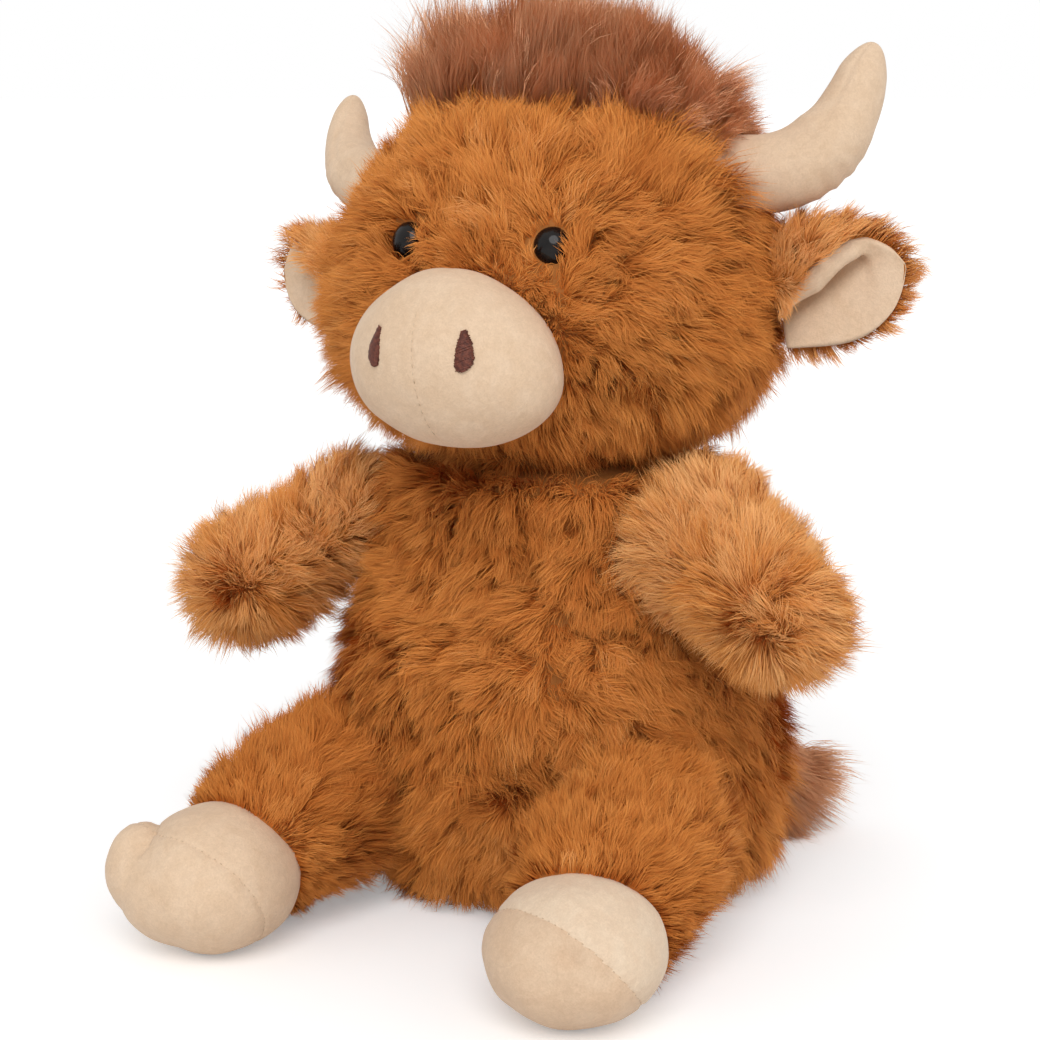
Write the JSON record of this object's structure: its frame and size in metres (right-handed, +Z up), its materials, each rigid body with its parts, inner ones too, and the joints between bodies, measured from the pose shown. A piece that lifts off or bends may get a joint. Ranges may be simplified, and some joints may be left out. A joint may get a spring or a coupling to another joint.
{
  "type": "seated highland cow plush toy",
  "caption": "Soft sewn highland cow that sits on its own, with a long pile body, short pile muzzle, horns and hooves, and roots that bend and spring back.",
  "frame": {"origin": "middle of the flat under the seat, between the hips", "axes": "+Z up out of the seat, -Y the way the cow faces, +X towards the cow's own left"},
  "size_m": [0.2731, 0.2596, 0.33],
  "materials": {
    "long_pile": "matte",
    "auburn_pile": "matte",
    "cream_velboa": "matte",
    "brown_thread": "satin",
    "eye_plastic": "gloss",
    "washer_plastic": "satin",
    "fibre_fill": "matte",
    "pellet_fill": "matte"
  },
  "bodies": {
    "torso": {"torso_pelt": "long_pile", "torso_stuffing": "fibre_fill", "seat_pellet_bag": "pellet_fill"},
    "neck": {"neck_stuffing": "fibre_fill"},
    "head": {"head_pelt": "long_pile", "head_stuffing": "fibre_fill", "muzzle_panel_left": "cream_velboa", "muzzle_panel_right": "cream_velboa", "muzzle_stuffing": "fibre_fill", "nostril_left": "brown_thread", "nostril_right": "brown_thread", "forelock": "auburn_pile", "eye_left": "eye_plastic", "eye_right": "eye_plastic", "eye_washer_left": "washer_plastic", "eye_washer_right": "washer_plastic", "horn_left": "cream_velboa", "horn_right": "cream_velboa", "horn_stuffing_left": "fibre_fill", "horn_stuffing_right": "fibre_fill"},
    "ear_left": {"ear_back_left": "long_pile", "ear_lining_left": "cream_velboa"},
    "ear_right": {"ear_back_right": "long_pile", "ear_lining_right": "cream_velboa"},
    "arm_left": {"arm_pelt_left": "long_pile", "arm_stuffing_left": "fibre_fill"},
    "arm_right": {"arm_pelt_right": "long_pile", "arm_stuffing_right": "fibre_fill"},
    "leg_left": {"leg_pelt_left": "long_pile", "leg_stuffing_left": "fibre_fill", "hoof_upper_left": "cream_velboa", "hoof_sole_left": "cream_velboa", "hoof_stuffing_left": "fibre_fill"},
    "leg_right": {"leg_pelt_right": "long_pile", "leg_stuffing_right": "fibre_fill", "hoof_upper_right": "cream_velboa", "hoof_sole_right": "cream_velboa", "hoof_stuffing_right": "fibre_fill"},
    "tail": {"tail_sleeve": "long_pile", "tail_tassel": "auburn_pile"}
  },
  "joints": [
    {"name": "head_turn", "type": "hinge", "parent": "torso", "child": "neck", "pos_m": [0, 0, 0.166], "axis": [0, 0, 1], "range_deg": [-20, 20], "stiffness_Nm_per_rad": 0.6},
    {"name": "head_nod", "type": "hinge", "parent": "neck", "child": "head", "pos_m": [0, 0, 0.166], "axis": [1, 0, 0], "range_deg": [-8, 10], "stiffness_Nm_per_rad": 2.5},
    {"name": "ear_left_flap", "type": "hinge", "parent": "head", "child": "ear_left", "pos_m": [0.08908, 0.00607, 0.228], "axis": [0, 0, -1], "range_deg": [-15, 20], "stiffness_Nm_per_rad": 0.02},
    {"name": "ear_right_flap", "type": "hinge", "parent": "head", "child": "ear_right", "pos_m": [-0.08964, 0.00611, 0.221], "axis": [0, 0, 1], "range_deg": [-15, 20], "stiffness_Nm_per_rad": 0.02},
    {"name": "arm_left_raise", "type": "hinge", "parent": "torso", "child": "arm_left", "pos_m": [0.06511, -0.02116, 0.143], "axis": [-0.454, -0.891, 0], "range_deg": [-15, 25], "stiffness_Nm_per_rad": 0.4},
    {"name": "arm_right_raise", "type": "hinge", "parent": "torso", "child": "arm_right", "pos_m": [-0.06511, -0.02116, 0.143], "axis": [-0.454, 0.891, 0], "range_deg": [-15, 25], "stiffness_Nm_per_rad": 0.4},
    {"name": "leg_left_lift", "type": "hinge", "parent": "torso", "child": "leg_left", "pos_m": [0.06071, -0.05466, 0.041], "axis": [-1, 0, 0], "range_deg": [0, 20], "stiffness_Nm_per_rad": 0.8},
    {"name": "leg_right_lift", "type": "hinge", "parent": "torso", "child": "leg_right", "pos_m": [-0.06071, -0.05466, 0.041], "axis": [-1, 0, 0], "range_deg": [0, 20], "stiffness_Nm_per_rad": 0.8},
    {"name": "tail_swing", "type": "hinge", "parent": "torso", "child": "tail", "pos_m": [0.02699, 0.08308, 0.03], "axis": [0, 0, 1], "range_deg": [-5, 45], "stiffness_Nm_per_rad": 0.05}
  ]
}
